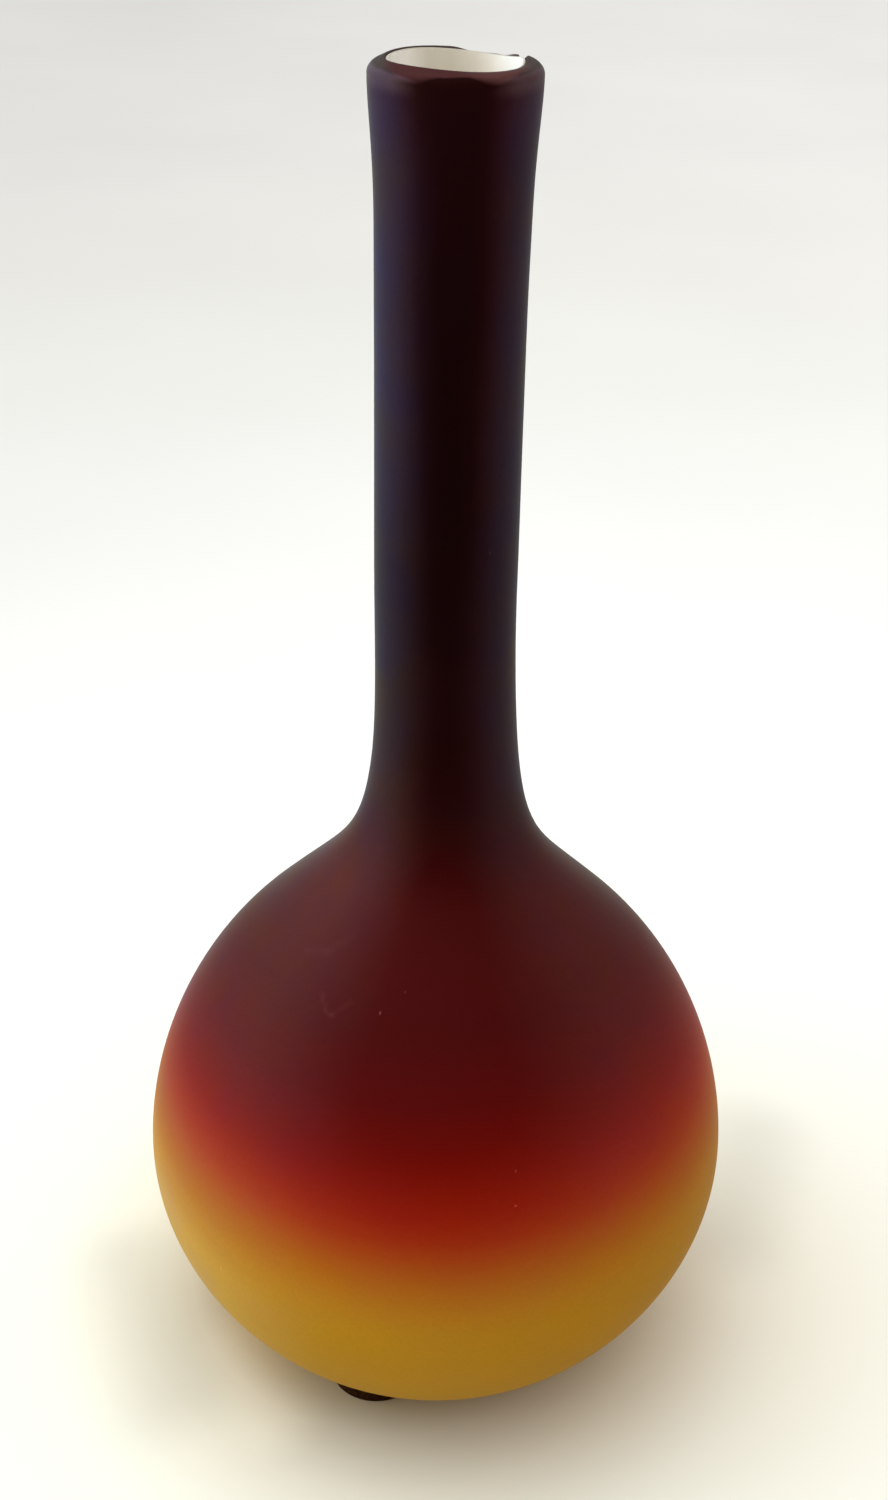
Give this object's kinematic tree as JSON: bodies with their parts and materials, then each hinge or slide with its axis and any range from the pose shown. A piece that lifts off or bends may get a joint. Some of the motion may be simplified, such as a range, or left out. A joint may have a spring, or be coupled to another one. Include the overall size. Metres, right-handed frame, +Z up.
{
  "type": "stick vase",
  "caption": "Blown stick vase with a flattened globe body, a long straight neck and a rounded lip, in satin cased glass over an opal lining, standing on soft feet.",
  "frame": {"origin": "on the surface that the vase stands on, under the middle of the globe", "axes": "+Z up along the neck, -Y towards the front, +X to the right"},
  "size_m": [0.0984, 0.0984, 0.2163],
  "materials": {
    "casing_glass": "acid-etched satin, shading from amber yellow below through red to mahogany at the neck",
    "lining_glass": "fire-polished gloss, opal white",
    "foot_rubber": "matt, slightly grainy, dark brown"
  },
  "bodies": {
    "root": {"outer_casing": "casing_glass", "opal_lining": "lining_glass", "foot_front": "foot_rubber", "foot_right": "foot_rubber", "foot_rear": "foot_rubber"}
  },
  "joints": []
}
